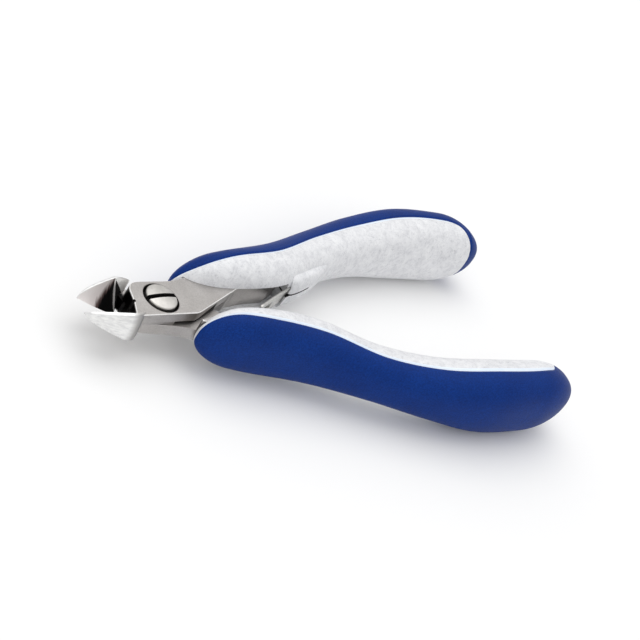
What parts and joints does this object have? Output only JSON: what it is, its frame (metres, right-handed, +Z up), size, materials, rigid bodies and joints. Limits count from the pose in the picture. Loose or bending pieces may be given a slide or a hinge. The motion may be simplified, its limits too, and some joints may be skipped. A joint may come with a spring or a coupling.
{
  "type": "flush cut pliers",
  "caption": "Small hand cutters with pointed bevelled jaws, a screwed lap joint, leaf return springs and contoured two-tone grips.",
  "frame": {"origin": "the pivot axis where it meets the flat underside of the joint", "axes": "+X from the jaws to the handles, +Y to the handle of the upper half, +Z up along the pivot towards the screw's head"},
  "size_m": [0.1436, 0.0724, 0.021],
  "materials": {
    "satin_steel": "satin ground tool steel with brushed jaw flanks and polished cutting bevels",
    "screw_steel": "bright turned steel",
    "spring_steel": "satin rolled spring steel",
    "marbled_plastic": "pale grey-white moulded plastic with fine marbled flecks",
    "soft_grip": "royal blue soft-touch rubber with a very fine moulded grain"
  },
  "bodies": {
    "lower_half": {"lower_blank": "satin_steel", "pivot_screw": "screw_steel", "near_grip_shell": "marbled_plastic", "near_grip_pad": "soft_grip", "near_spring_root": "spring_steel"},
    "upper_half": {"upper_blank": "satin_steel", "far_grip_shell": "marbled_plastic", "far_grip_pad": "soft_grip", "far_spring_root": "spring_steel"},
    "far_leaf": {"far_spring_leaf": "spring_steel"},
    "near_leaf": {"near_spring_leaf": "spring_steel"}
  },
  "joints": [
    {"name": "pivot", "type": "hinge", "parent": "lower_half", "child": "upper_half", "pos_m": [0, 0, 0], "axis": [0, 0, 1], "range_deg": [-12.8, 0], "stiffness_Nm_per_rad": 1.5, "springref_deg": 5.73},
    {"name": "far_leaf_bend", "type": "hinge", "parent": "upper_half", "child": "far_leaf", "pos_m": [0.0425, 0.0063, 0.0035], "axis": [0, 0, 1], "range_deg": [-16.5, 0]},
    {"name": "near_leaf_bend", "type": "hinge", "parent": "lower_half", "child": "near_leaf", "pos_m": [0.0425, -0.0063, 0.0035], "axis": [0, 0, 1], "range_deg": [0, 16.5]}
  ],
  "couplings": [
    {"joint": "far_leaf_bend", "follows": "pivot", "ratio": 1.26},
    {"joint": "near_leaf_bend", "follows": "pivot", "ratio": -1.26}
  ]
}
